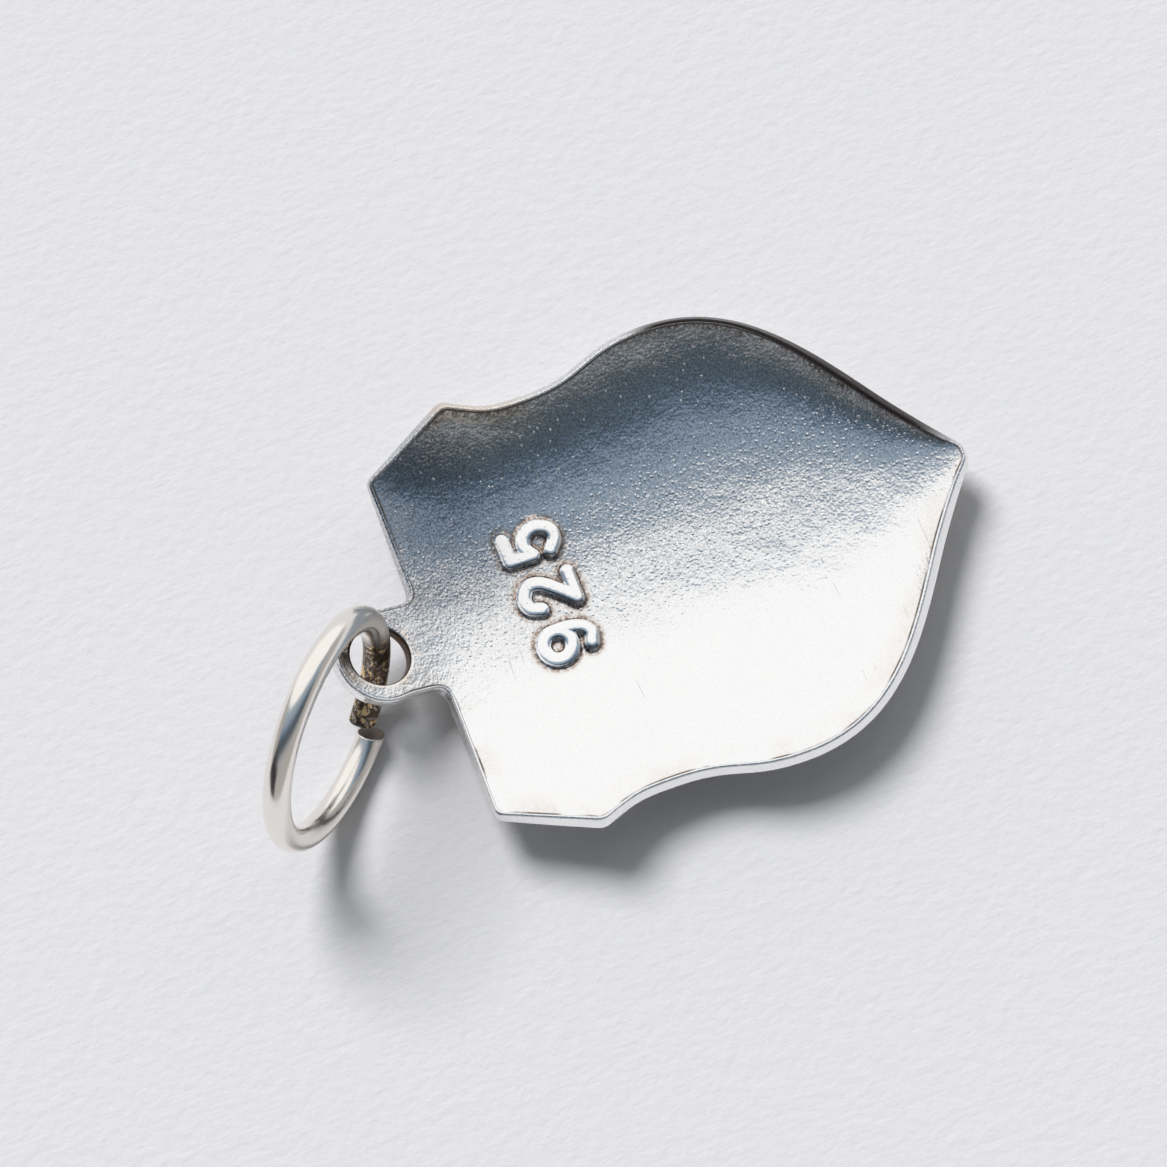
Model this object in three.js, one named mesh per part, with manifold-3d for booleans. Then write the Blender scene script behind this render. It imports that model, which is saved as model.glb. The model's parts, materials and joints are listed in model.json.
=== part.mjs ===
// A small silver shield pendant with a jump ring through its eye, lying on its domed front, back up.
// Sizes are in millimetres. +Z is up, +Y runs from the shield to its eye, and the origin is on the
// ground under the middle of the whole piece.

import * as THREE from 'three'
import { mergeVertices } from 'three/addons/utils/BufferGeometryUtils.js'
import Module from 'manifold-3d'

const wasm = await Module()
wasm.setup()

// Sheet of the shield
const sheetThickness = 0.40

// Outline of the shield, as widths across and drops below the top edge
const shieldHeight = 16.0
const topWidth = 10.25
const shoulderWidth = 12.9
const shoulderDrop = 2.7
const waistWidth = 11.9
const waistDrop = 4.95
const bellyWidth = 13.2
const bellyDrop = 8.75
const flankWidth = 4.9
const flankDrop = 14.25
const tipWidth = 0.5

// Width that each side loses per millimetre of drop, where the outline leaves the shoulder, along the
// flanks and at the tip
const shoulderSlant = 0.4
const flankSlant = 1.45
const tipSlant = 1.0

// Dish of the sheet: how far its middle surface climbs from the deepest point to each part of the rim,
// and how far below the top edge it starts to turn up towards the eye
const sideRise = 1.55
const tipRise = 1.30
const topEdgeRise = 1.05
const deepestDrop = 6.3
const turnUpDrop = 5.0
const dishPower = 2.6

// Eye at the middle of the top edge
const eyeReach = 1.61
const eyeRadius = 1.37
const eyeOffset = 0.23
const holeWidth = 1.68
const holeLength = 1.80
const neckWidth = 2.6
const neckFillet = 0.35
const neckSeat = 0.25

// Raised number on the back
const digitHeight = 1.95
const digitWidth = 1.35
const digitPitch = 1.53
const digitStroke = 0.52
const digitRelief = 0.15
const numberDrop = 3.7
const numberOffset = 0.6

// Jump ring, bent from round wire and left open by a narrow cut
const wireThickness = 0.78
const ringMeanRadius = 3.15
const cutWidth = 0.23
const cutStep = 0.35
const cutAngle = 251.5

// How the ring stands: turned away from the shield's long axis, leaning off upright, and with its wire
// a little to the right of the middle of the hole
const ringHeading = 46
const ringLean = 11
const wireOffset = 0.12

// Fineness of the facets
const columns = 21
const lineRows = 3
const curveRows = 7
const ringSteps = 56
const wireSides = 12
const beadSides = 8
const bendSteps = 3
const loopSteps = 18

const silverSheet = new THREE.MeshStandardMaterial({ color: 0xc6c8cb, roughness: 0.3, metalness: 1 })
const silverWire = new THREE.MeshStandardMaterial({ color: 0xd4d4d4, roughness: 0.1, metalness: 1 })

// Solids: a closed mesh becomes a solid that can be joined or cut, and comes back as one
function solidOf(geometry) {
  const bare = geometry.clone()
  bare.deleteAttribute('normal')
  bare.deleteAttribute('uv')
  const closed = mergeVertices(bare, 1e-5)
  return new wasm.Manifold(new wasm.Mesh({
    numProp: 3,
    vertProperties: new Float32Array(closed.attributes.position.array),
    triVerts: new Uint32Array(closed.index.array),
  }))
}

function geometryOf(solid) {
  const mesh = solid.getMesh()
  const geometry = new THREE.BufferGeometry()
  geometry.setAttribute('position', new THREE.BufferAttribute(new Float32Array(mesh.vertProperties), 3))
  geometry.setIndex(new THREE.BufferAttribute(new Uint32Array(mesh.triVerts), 1))
  geometry.computeVertexNormals()
  return geometry
}

// Outline: half the shield's width and the drop below the top edge, from the top corner to the tip
function outlinePoints() {
  const top = new THREE.Vector2(topWidth / 2, 0)
  const shoulder = new THREE.Vector2(shoulderWidth / 2, shoulderDrop)
  const waist = new THREE.Vector2(waistWidth / 2, waistDrop)
  const belly = new THREE.Vector2(bellyWidth / 2, bellyDrop)
  const flank = new THREE.Vector2(flankWidth / 2, flankDrop)
  const tip = new THREE.Vector2(tipWidth / 2, shieldHeight)
  const waistRun = (waistDrop - shoulderDrop) / 2
  const bellyRun = (bellyDrop - waistDrop) / 2
  const flankRun = (flankDrop - bellyDrop) / 2
  const tipRun = (shieldHeight - flankDrop) / 4
  const along = (point, run, slant) => new THREE.Vector2(point.x - slant * run, point.y + run)
  const curve = (from, runOut, slantOut, runIn, slantIn, to) => new THREE.CubicBezierCurve(
    from, along(from, runOut, slantOut), along(to, -runIn, slantIn), to)
  const pieces = [
    [new THREE.LineCurve(top, shoulder), lineRows],
    [curve(shoulder, waistRun, shoulderSlant, waistRun, 0, waist), curveRows],
    [curve(waist, bellyRun, 0, bellyRun, 0, belly), curveRows],
    [curve(belly, flankRun, 0, flankRun / 2, flankSlant, flank), curveRows],
    [curve(flank, tipRun, flankSlant, tipRun, tipSlant, tip), lineRows],
  ]
  const points = [top]
  for (const [curve, rows] of pieces) {
    points.push(...curve.getPoints(rows).slice(1))
  }
  return points
}

const outline = outlinePoints()

function halfWidth(drop) {
  const next = Math.max(1, outline.findIndex((point) => point.y >= drop))
  const low = outline[next - 1]
  const high = outline[next]
  return low.x + ((high.x - low.x) * (drop - low.y)) / (high.y - low.y)
}

// Dish: height of the sheet's middle surface, at a distance from the middle line and a drop.
// Down the middle line it is a shallow bowl about the deepest point, and near the top edge it turns up
// more steeply, towards the eye. Across, it climbs with a power of the distance, to a rim that is level
// along the sides and lower at the tip.
const bowl = tipRise / (shieldHeight - deepestDrop) ** 2
const turnUp = topEdgeRise - bowl * deepestDrop ** 2

function middleRise(drop) {
  const lift = turnUp * Math.max(0, 1 - drop / turnUpDrop) ** 3
  return bowl * (drop - deepestDrop) ** 2 + lift
}

function rimRise(drop) {
  const past = Math.max(0, drop - bellyDrop) / (shieldHeight - bellyDrop)
  return sideRise - (sideRise - tipRise) * past ** 2
}

// Half width that the dish is spread over: a smooth swell from the top edge to the belly, which passes
// by the shoulder and the waist, and then the outline itself down to the tip
function dishHalfWidth(drop) {
  if (drop < bellyDrop) {
    const swell = Math.sin((Math.PI / 2) * (drop / bellyDrop))
    return topWidth / 2 + ((bellyWidth - topWidth) / 2) * swell
  }
  return halfWidth(drop)
}

function dishHeight(x, drop) {
  const middle = middleRise(drop)
  const share = Math.abs(x) / dishHalfWidth(drop)
  return sheetThickness / 2 + middle + (rimRise(drop) - middle) * share ** dishPower
}

// Sheet: the middle surface as a grid, thickened along its normals
function sheetSolid() {
  const rows = outline
  const across = columns + 1
  const points = []
  for (const row of rows) {
    for (let column = 0; column < across; column++) {
      const share = (2 * column) / columns - 1
      points.push(row.x * share, -row.y, dishHeight(row.x * share, row.y))
    }
  }
  const faces = []
  for (let row = 0; row + 1 < rows.length; row++) {
    for (let column = 0; column < columns; column++) {
      const corner = row * across + column
      const below = corner + across
      faces.push(corner, below, corner + 1, corner + 1, below, below + 1)
    }
  }
  const middle = new THREE.BufferGeometry()
  middle.setAttribute('position', new THREE.Float32BufferAttribute(points, 3))
  middle.setIndex(faces)
  middle.computeVertexNormals()

  const count = rows.length * across
  const both = new Float32Array(count * 6)
  const point = new THREE.Vector3()
  const normal = new THREE.Vector3()
  for (let i = 0; i < count; i++) {
    point.fromBufferAttribute(middle.attributes.position, i)
    normal.fromBufferAttribute(middle.attributes.normal, i).multiplyScalar(sheetThickness / 2)
    point.clone().add(normal).toArray(both, 3 * i)
    point.clone().sub(normal).toArray(both, 3 * (count + i))
  }
  const rim = []
  for (let column = 0; column < columns; column++) {
    rim.push(column)
  }
  for (let row = 0; row + 1 < rows.length; row++) {
    rim.push(row * across + columns)
  }
  for (let column = columns; column > 0; column--) {
    rim.push((rows.length - 1) * across + column)
  }
  for (let row = rows.length - 1; row > 0; row--) {
    rim.push(row * across)
  }
  const closedFaces = [...faces]
  for (let i = 0; i < faces.length; i += 3) {
    closedFaces.push(faces[i] + count, faces[i + 2] + count, faces[i + 1] + count)
  }
  rim.forEach((here, i) => {
    const next = rim[(i + 1) % rim.length]
    closedFaces.push(here, next, here + count, next, next + count, here + count)
  })
  const sheet = new THREE.BufferGeometry()
  sheet.setAttribute('position', new THREE.BufferAttribute(both, 3))
  sheet.setIndex(closedFaces)
  return solidOf(sheet)
}

// Eye: a flat tongue with a hole, which runs on from the top edge at the sheet's own slope
const eyeSlope = Math.atan(2 * bowl * deepestDrop + (3 * turnUp) / turnUpDrop)

function eyePlace() {
  const place = new THREE.Group()
  place.position.set(eyeOffset, 0, dishHeight(0, 0))
  place.rotation.x = eyeSlope
  place.updateMatrix()
  return place
}

function eyeSolid() {
  const side = neckWidth / 2
  const meet = eyeReach - Math.sqrt(eyeRadius ** 2 - side ** 2)
  const start = Math.atan2(meet - eyeReach, side)
  const shape = new THREE.Shape()
  shape.moveTo(-side - neckFillet, -neckSeat)
  shape.lineTo(side + neckFillet, -neckSeat)
  shape.lineTo(side + neckFillet, 0)
  shape.absarc(side + neckFillet, neckFillet, neckFillet, -Math.PI / 2, -Math.PI, true)
  shape.lineTo(side, meet)
  shape.absarc(0, eyeReach, eyeRadius, start, Math.PI - start, false)
  shape.lineTo(-side, neckFillet)
  shape.absarc(-side - neckFillet, neckFillet, neckFillet, 0, -Math.PI / 2, true)
  shape.closePath()
  const hole = new THREE.Path()
  hole.absellipse(0, eyeReach, holeWidth / 2, holeLength / 2, 0, 2 * Math.PI, true)
  shape.holes.push(hole)
  const tongue = new THREE.ExtrudeGeometry(shape, {
    depth: sheetThickness, bevelEnabled: false, curveSegments: 20,
  })
  tongue.translate(0, 0, -sheetThickness / 2)
  tongue.applyMatrix4(eyePlace().matrix)
  return solidOf(tongue)
}

// Number: round beads along the strokes of each figure, sunk into the back so that a low ridge shows
const strokeRadius = digitStroke / 2
const beadWide = (digitWidth - digitStroke) / 2
const beadHigh = (digitHeight - digitStroke) / 2

function bead(points) {
  const path = new THREE.CatmullRomCurve3(
    points.map(([x, y]) => new THREE.Vector3(x * beadWide, y * beadHigh, 0)))
  const section = new THREE.Shape()
  section.absarc(0, 0, strokeRadius, 0, 2 * Math.PI, false)
  const tube = new THREE.ExtrudeGeometry(section, {
    steps: bendSteps * (points.length - 1), curveSegments: beadSides / 2,
    extrudePath: path, bevelEnabled: false,
  })
  return solidOf(tube)
}

function loopBead(centreHeight, high) {
  const loop = new THREE.TorusGeometry(1, strokeRadius, beadSides, loopSteps)
  const position = loop.attributes.position
  for (let i = 0; i < position.count; i++) {
    const x = position.getX(i)
    const y = position.getY(i)
    const reach = Math.hypot(x, y)
    const beyond = reach - 1
    position.setX(i, (x / reach) * (beadWide + beyond))
    position.setY(i, centreHeight * beadHigh + (y / reach) * (high * beadHigh + beyond))
  }
  return solidOf(loop)
}

const figures = {
  nine: () => [
    loopBead(0.42, 0.58),
    bead([[1, 0.42], [0.98, -0.2], [0.7, -0.75], [0.1, -1], [-0.6, -0.9]]),
  ],
  two: () => [
    bead([[-0.95, 0.5], [-0.6, 0.93], [0.15, 1], [0.85, 0.7], [0.8, 0.2], [0, -0.4], [-1, -1]]),
    bead([[-1, -1], [0, -1], [1, -1]]),
  ],
  five: () => [
    bead([[0.85, 1], [0, 1], [-0.8, 1]]),
    bead([[-0.8, 1], [-0.85, 0.55], [-0.9, 0.05]]),
    bead([[-0.9, 0.05], [-0.2, 0.28], [0.6, 0.12], [0.98, -0.35], [0.6, -0.88], [-0.2, -1], [-0.95, -0.7]]),
  ],
}
const number = ['nine', 'two', 'five']

function backPlace(x, drop) {
  const step = 0.05
  const at = (px, pd) => new THREE.Vector3(px, -pd, dishHeight(px, pd))
  const here = at(x, drop)
  const acrossWay = at(x + step, drop).sub(here).normalize()
  const upWay = at(x, drop - step).sub(here).normalize()
  const outWay = new THREE.Vector3().crossVectors(acrossWay, upWay).normalize()
  upWay.crossVectors(outWay, acrossWay)
  const place = new THREE.Matrix4().makeBasis(acrossWay, upWay, outWay)
  const lift = sheetThickness / 2 + digitRelief - strokeRadius
  place.setPosition(here.addScaledVector(outWay, lift))
  return place
}

function numberSolids() {
  return number.flatMap((name, i) => {
    const x = numberOffset + (i - (number.length - 1) / 2) * digitPitch
    const place = backPlace(x, numberDrop)
    return figures[name]().map((solid) => solid.transform(place.toArray()))
  })
}

// Jump ring: its middle line is one open turn, whose two ends miss each other by a small step
const cutTurn = cutWidth / ringMeanRadius
const turnStart = THREE.MathUtils.degToRad(cutAngle) + cutTurn / 2

function sideStep(angle) {
  return cutStep * (0.5 - (angle - turnStart) / (2 * Math.PI - cutTurn))
}

class OpenTurn extends THREE.Curve {
  getPoint(t, target = new THREE.Vector3()) {
    const angle = turnStart + t * (2 * Math.PI - cutTurn)
    return target.set(ringMeanRadius * Math.cos(angle), sideStep(angle), ringMeanRadius * Math.sin(angle))
  }
}

function ringGeometry() {
  const section = new THREE.Shape()
  section.absarc(0, 0, wireThickness / 2, 0, 2 * Math.PI, false)
  return geometryOf(solidOf(new THREE.ExtrudeGeometry(section, {
    steps: ringSteps, curveSegments: wireSides / 2, extrudePath: new OpenTurn(), bevelEnabled: false,
  })))
}

// Shield with its eye and its number, all struck from one sheet
function shieldGeometry() {
  let shield = sheetSolid().add(eyeSolid())
  for (const solid of numberSolids()) {
    shield = shield.add(solid)
  }
  return geometryOf(shield)
}

const shieldBody = new THREE.Mesh(shieldGeometry(), silverSheet)
shieldBody.name = 'shield_body'

const jumpRing = new THREE.Mesh(ringGeometry(), silverWire)
jumpRing.name = 'jump_ring'
jumpRing.rotation.x = THREE.MathUtils.degToRad(ringLean)

// The ring stands on the ground, and its middle line passes through the eye's hole. Its foot lies to one
// side of the wire in the hole, which the lean turns into a small height.
const holeCentre = new THREE.Vector3(0, eyeReach, 0).applyMatrix4(eyePlace().matrix)
const leanAngle = THREE.MathUtils.degToRad(ringLean)
const ringCentreHeight = ringMeanRadius * Math.cos(leanAngle) + wireThickness / 2
const aboveHole = (ringCentreHeight - holeCentre.z) / Math.cos(leanAngle)
const besideHole = Math.sqrt(ringMeanRadius ** 2 - aboveHole ** 2)
const holeAngle = Math.PI + Math.asin(aboveHole / ringMeanRadius) + 2 * Math.PI
const footRise = (sideStep(1.5 * Math.PI) - sideStep(holeAngle)) * Math.sin(leanAngle)
jumpRing.position.set(besideHole, -aboveHole * Math.sin(leanAngle), ringCentreHeight)
jumpRing.translateY(-sideStep(holeAngle))
jumpRing.position.z -= footRise

const ringTurn = new THREE.Group()
ringTurn.add(jumpRing)
ringTurn.position.set(holeCentre.x + wireOffset, holeCentre.y, 0)
ringTurn.rotation.z = THREE.MathUtils.degToRad(90 + ringHeading)

// The whole pendant, moved so that the origin is under its middle
const pendant = new THREE.Group()
pendant.add(shieldBody, ringTurn)
const box = new THREE.Box3().setFromObject(pendant, true)
const centre = box.getCenter(new THREE.Vector3())
pendant.position.set(-centre.x, -centre.y, -box.min.z)

export default pendant
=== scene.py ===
# %% [markdown]
# # A small silver shield pendant, lying on its front
#
# The piece is about as long as a thumbnail. A shield was struck from one thin sheet of silver, so its
# front is domed and its back is a shallow dish. The eye at its top edge and the raised number are part
# of the same sheet. A jump ring of round wire, left open by its cut, stands in the eye.
#
# Every surface here is worked out with numpy in millimetres and handed to Blender in metres. The packed
# model is the frame: it says where the shield lies and where the ring turns in the eye.

# %% Load the frame
import json
import math

import bpy
import numpy as np
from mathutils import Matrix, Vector


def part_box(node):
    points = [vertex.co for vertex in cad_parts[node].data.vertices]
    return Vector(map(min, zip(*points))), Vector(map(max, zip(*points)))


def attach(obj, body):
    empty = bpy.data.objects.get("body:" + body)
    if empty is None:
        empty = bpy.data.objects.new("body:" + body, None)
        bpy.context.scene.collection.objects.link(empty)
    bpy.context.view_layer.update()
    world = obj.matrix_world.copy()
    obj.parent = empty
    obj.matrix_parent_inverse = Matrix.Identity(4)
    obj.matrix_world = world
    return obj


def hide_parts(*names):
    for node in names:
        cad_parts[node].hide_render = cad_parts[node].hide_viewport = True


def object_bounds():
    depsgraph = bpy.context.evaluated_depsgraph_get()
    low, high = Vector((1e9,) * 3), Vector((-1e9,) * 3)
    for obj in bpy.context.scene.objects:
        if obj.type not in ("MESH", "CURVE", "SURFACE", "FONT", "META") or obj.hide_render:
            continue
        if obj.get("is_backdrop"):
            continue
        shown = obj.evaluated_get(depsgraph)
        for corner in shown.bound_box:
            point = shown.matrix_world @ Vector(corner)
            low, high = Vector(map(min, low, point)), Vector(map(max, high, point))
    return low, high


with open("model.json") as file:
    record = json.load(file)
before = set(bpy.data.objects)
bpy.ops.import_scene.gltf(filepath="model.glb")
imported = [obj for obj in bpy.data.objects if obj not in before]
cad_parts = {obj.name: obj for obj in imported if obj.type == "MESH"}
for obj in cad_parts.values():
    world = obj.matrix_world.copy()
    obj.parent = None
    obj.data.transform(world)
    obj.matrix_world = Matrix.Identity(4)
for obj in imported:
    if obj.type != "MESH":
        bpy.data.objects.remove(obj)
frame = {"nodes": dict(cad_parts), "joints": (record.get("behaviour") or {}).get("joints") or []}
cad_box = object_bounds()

MM = 0.001
for name in frame["nodes"]:
    low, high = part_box(name)
    print(name, "is", " x ".join(f"{side / MM:.2f}" for side in high - low), "mm")

# %% [markdown]
# ## Where the pendant lies
#
# The shield is described as a maker would measure it: widths across, and drops below its top edge. The
# top edge's middle is the origin of that drawing, +Y points from there to the eye, and heights count up
# from the paper. The joint of the ring sits at the middle of the eye's hole, so the hole in the drawing
# and the joint in the frame together say how far the drawing has to move.

# %% Sizes of the dish and place of the eye
SHEET = 0.40
HEIGHT = 16.0
TOP_RISE, SIDE_RISE, TIP_RISE = 1.05, 1.55, 1.30
DEEPEST, TURN_UP_DROP, DISH_POWER = 6.3, 5.0, 2.6
BOWL = TIP_RISE / (HEIGHT - DEEPEST) ** 2
TURN_UP = TOP_RISE - BOWL * DEEPEST ** 2
EYE_SLOPE = math.atan(2 * BOWL * DEEPEST + 3 * TURN_UP / TURN_UP_DROP)
EYE_SIDE, EYE_REACH = 0.23, 1.61
TOP_MIDDLE_HEIGHT = SHEET / 2 + TOP_RISE

hole_middle = np.array([
    EYE_SIDE,
    EYE_REACH * math.cos(EYE_SLOPE),
    TOP_MIDDLE_HEIGHT + EYE_REACH * math.sin(EYE_SLOPE),
])
swivel = np.array(frame["joints"][0]["pos_m"]) / MM
move = swivel - hole_middle
print("the drawing moves by", move.round(3), "mm")

# %% [markdown]
# ## The outline
#
# A die-struck blank has a clean outline: straight shoulders, a waist, a full belly and flanks that run
# in to the tip. It could be traced as a picture, but a handful of widths with curves between them stays
# editable and has no wobble. Each curve is a cubic that leaves and arrives at a stated slant. The kinks
# between the curves are then softened as a file softens them, with a moving average along the line.

# %% Curves between the stations of the outline
TOP_WIDTH, SHOULDER_WIDTH, SHOULDER_DROP = 10.25, 12.9, 2.7
WAIST_WIDTH, WAIST_DROP = 11.9, 4.95
BELLY_WIDTH, BELLY_DROP = 13.2, 8.75
FLANK_WIDTH, FLANK_DROP, TIP_WIDTH = 4.9, 14.25, 0.5
SHOULDER_SLANT, FLANK_SLANT, TIP_SLANT = 0.4, 1.45, 1.0


def curve(start, run_out, slant_out, run_in, slant_in, end, count=400):
    """Cubic from start to end, as half width and drop. Its two handles lie a run above or below the ends,
    and the slant is the width lost per millimetre of drop."""
    t = np.linspace(0, 1, count)[:, None]
    start, end = np.array(start), np.array(end)
    leave = start + [-slant_out * run_out, run_out]
    arrive = end + [slant_in * run_in, -run_in]
    return (1 - t) ** 3 * start + 3 * (1 - t) ** 2 * t * leave + 3 * (1 - t) * t ** 2 * arrive + t ** 3 * end


top = (TOP_WIDTH / 2, 0.0)
shoulder = (SHOULDER_WIDTH / 2, SHOULDER_DROP)
waist = (WAIST_WIDTH / 2, WAIST_DROP)
belly = (BELLY_WIDTH / 2, BELLY_DROP)
flank = (FLANK_WIDTH / 2, FLANK_DROP)
tip = (TIP_WIDTH / 2, HEIGHT)
waist_run, belly_run = (WAIST_DROP - SHOULDER_DROP) / 2, (BELLY_DROP - WAIST_DROP) / 2
flank_run, tip_run = (FLANK_DROP - BELLY_DROP) / 2, (HEIGHT - FLANK_DROP) / 4
side_line = np.vstack([
    [top],
    curve(shoulder, waist_run, SHOULDER_SLANT, waist_run, 0, waist),
    curve(waist, belly_run, 0, belly_run, 0, belly)[1:],
    curve(belly, flank_run, 0, flank_run / 2, FLANK_SLANT, flank)[1:],
    curve(flank, tip_run, FLANK_SLANT, tip_run, TIP_SLANT, tip)[1:],
])
print("the side line has", len(side_line), "points")

# %% Soften a line's kinks, and draw it in from the edge
FINE_STEP = 0.02
SOFTENING = 0.40
RIM_BAND = 0.12


def along(line):
    """Distance travelled along a line at each of its points."""
    return np.concatenate([[0], np.cumsum(np.linalg.norm(np.diff(line, axis=0), axis=1))])


def evenly(line, step):
    """The line again, as points at equal steps along it, near the wanted step."""
    run = along(line)
    even = np.linspace(0, run[-1], round(run[-1] / step))
    return np.column_stack([np.interp(even, run, line[:, axis]) for axis in (0, 1)])


def unit(vectors):
    """The vectors, each divided by its own length."""
    return vectors / np.linalg.norm(vectors, axis=-1, keepdims=True)


def softened(line):
    """The line at equal fine steps, each point then replaced by the mean of its neighbours in the window.
    Beyond an end, the line goes on as its own image turned half round about that end."""
    fine = evenly(line, FINE_STEP)
    reach = round(SOFTENING / FINE_STEP / 2)
    before = 2 * fine[0] - fine[reach:0:-1]
    after = 2 * fine[-1] - fine[-2:-reach - 2:-1]
    longer = np.vstack([before, fine, after])
    mean = np.ones(2 * reach + 1) / (2 * reach + 1)
    return np.column_stack([np.convolve(longer[:, axis], mean, "valid") for axis in (0, 1)])


def drawn_in(line):
    """A clockwise line moved to its right by the rim's band, square to its own direction at each point."""
    heading = unit(np.gradient(line, axis=0))
    return line + RIM_BAND * np.column_stack([heading[:, 1], -heading[:, 0]])


shield_edge = softened(np.vstack([[(0, 0)], side_line * [1, -1], [(0, -HEIGHT)]]))
shield_line = drawn_in(shield_edge)
print("half outline:", len(shield_line), "points,", round(along(shield_edge)[-1], 1), "mm long")

# %% [markdown]
# ## The eye's outline
#
# The eye is a flat tongue that runs on from the dish at the same slope, so the outline is drawn flat and
# then foreshortened by that slope. Two hollow fillets lead from the top edge into a short neck, and the
# neck opens into a round. It is drawn from the top of the round, clockwise, to a point on the top edge.

# %% Half of the eye's outline
EYE_RADIUS, NECK_WIDTH, NECK_FILLET = 1.37, 2.6, 0.35
HOLE_WIDTH, HOLE_LENGTH = 1.68, 1.80
TOP_RUN = 4.0


def arc(middle, radius, start, end, count=80):
    """Part of a circle, by its two angles in degrees."""
    angle = np.radians(np.linspace(start, end, count))
    return np.asarray(middle) + radius * np.column_stack([np.cos(angle), np.sin(angle)])


neck = NECK_WIDTH / 2
neck_meets = math.degrees(math.acos(neck / EYE_RADIUS))
FORESHORTEN = np.array([1, math.cos(EYE_SLOPE)])
eye_edge = softened(FORESHORTEN * np.vstack([
    arc((0, EYE_REACH), EYE_RADIUS, 90, -neck_meets),
    arc((neck + NECK_FILLET, NECK_FILLET), NECK_FILLET, 180, 270),
    [(TOP_RUN, 0)],
]))
eye_line = drawn_in(eye_edge)
headings = unit(np.gradient(eye_edge, axis=0))
in_fillet = eye_line[:, 1] < NECK_FILLET
foot = int(np.argmax(np.where(in_fillet, headings @ [1, -1], -np.inf)))
print("the eye's foot is at", eye_line[foot].round(3))

# %% [markdown]
# ## The dish
#
# Pressing the sheet into a die gives a smooth hollow. It is written as one height for every place on
# the drawing: down the middle line it is a shallow bowl that turns up more steeply near the top edge, and
# across it climbs with a power of the distance, up to a rim that is level along the sides and lower at
# the tip. Past the top edge the same slope runs on as the flat tongue of the eye. With a formula, the slope
# is known everywhere, so the sheet's two faces can stand off square to it.

# %% Height and slope of the sheet's middle surface
TONGUE_FLATTENS = 0.6
SLOPE_STEP = 0.02


def middle_rise(drop):
    """The square of the distance from the deepest point, plus a cube that lifts the stretch by the eye."""
    lift = TURN_UP * np.clip(1 - drop / TURN_UP_DROP, 0, None) ** 3
    return BOWL * (drop - DEEPEST) ** 2 + lift


def rim_rise(drop):
    """Level down to the belly, then falling with the square of the way to the tip."""
    past = np.clip(drop - BELLY_DROP, 0, None) / (HEIGHT - BELLY_DROP)
    return SIDE_RISE - (SIDE_RISE - TIP_RISE) * past ** 2


def dish_reach(drop):
    """Half width that the dish is spread over: a quarter sine wave from the top edge to the belly, which
    passes by the shoulder and the waist, and below the belly the outline itself."""
    swell = np.sin(np.pi / 2 * np.clip(drop, 0, BELLY_DROP) / BELLY_DROP)
    above = TOP_WIDTH / 2 + (BELLY_WIDTH - TOP_WIDTH) / 2 * swell
    return np.where(drop < BELLY_DROP, above, np.interp(drop, side_line[:, 1], side_line[:, 0]))


def height(x, y):
    """Middle rise, plus the rim's lead over it times the share of the way across, to a power. Past the top
    edge, the straight slope of the tongue, with that crown fading out."""
    drop = np.clip(-y, 0, HEIGHT)
    middle = middle_rise(drop)
    crown = (rim_rise(drop) - middle) * (np.abs(x) / dish_reach(drop)) ** DISH_POWER
    past = np.clip(y, 0, None)
    fade = np.clip(1 - past / TONGUE_FLATTENS, 0, 1)
    return SHEET / 2 + middle + crown * fade * fade * (3 - 2 * fade) + past * math.tan(EYE_SLOPE)


def upright(x, y):
    """Unit normal of the middle surface, from the height a small step to each side."""
    step = SLOPE_STEP
    across = (height(x + step, y) - height(x - step, y)) / (2 * step)
    along_y = (height(x, y + step) - height(x, y - step)) / (2 * step)
    return unit(np.stack([-across, -along_y, np.ones_like(across)], -1))


print("slope at the top edge:", round(math.degrees(EYE_SLOPE), 1), "degrees")

# %% [markdown]
# ## The number
#
# Three figures stand up in bold ridges on the back, pressed in with the same blow as the dish. They are a
# plain generic number. It could be text pushed through a modifier, but the ridges have softened feet and
# crowns that lie nearly level in the sloping dish, so each figure is a set of strokes, and the sheet rises
# by the distance to the nearest stroke.

# %% Strokes of the figures
FIGURE_WIDTH, FIGURE_HEIGHT, FIGURE_PITCH = 1.35, 1.95, 1.53
STROKE = 0.52
RELIEF, LEVELLING, FLATNESS = 0.16, 0.9, 4
NUMBER_DROP, NUMBER_SIDE = 3.7, 0.6


def through(*knots, steps=10):
    """Smooth line through the knots: on each stretch a cubic whose slope at a knot is that of the line
    between the knot's two neighbours."""
    p = np.array(knots, float)
    p = np.vstack([2 * p[0] - p[1], p, 2 * p[-1] - p[-2]])
    a, b, c, d = p[:-3, None], p[1:-2, None], p[2:-1, None], p[3:, None]
    t = np.linspace(0, 1, steps + 1)[None, :, None]
    bend, twist = 2 * a - 5 * b + 4 * c - d, 3 * b - 3 * c + d - a
    return 0.5 * (2 * b + (c - a) * t + bend * t ** 2 + twist * t ** 3).reshape(-1, 2)


def loop(middle, high, count=40):
    """Closed oval as wide as the figure, by its middle's height and its half height."""
    angle = np.linspace(0, 2 * np.pi, count)
    return np.column_stack([np.cos(angle), middle + high * np.sin(angle)])


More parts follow.
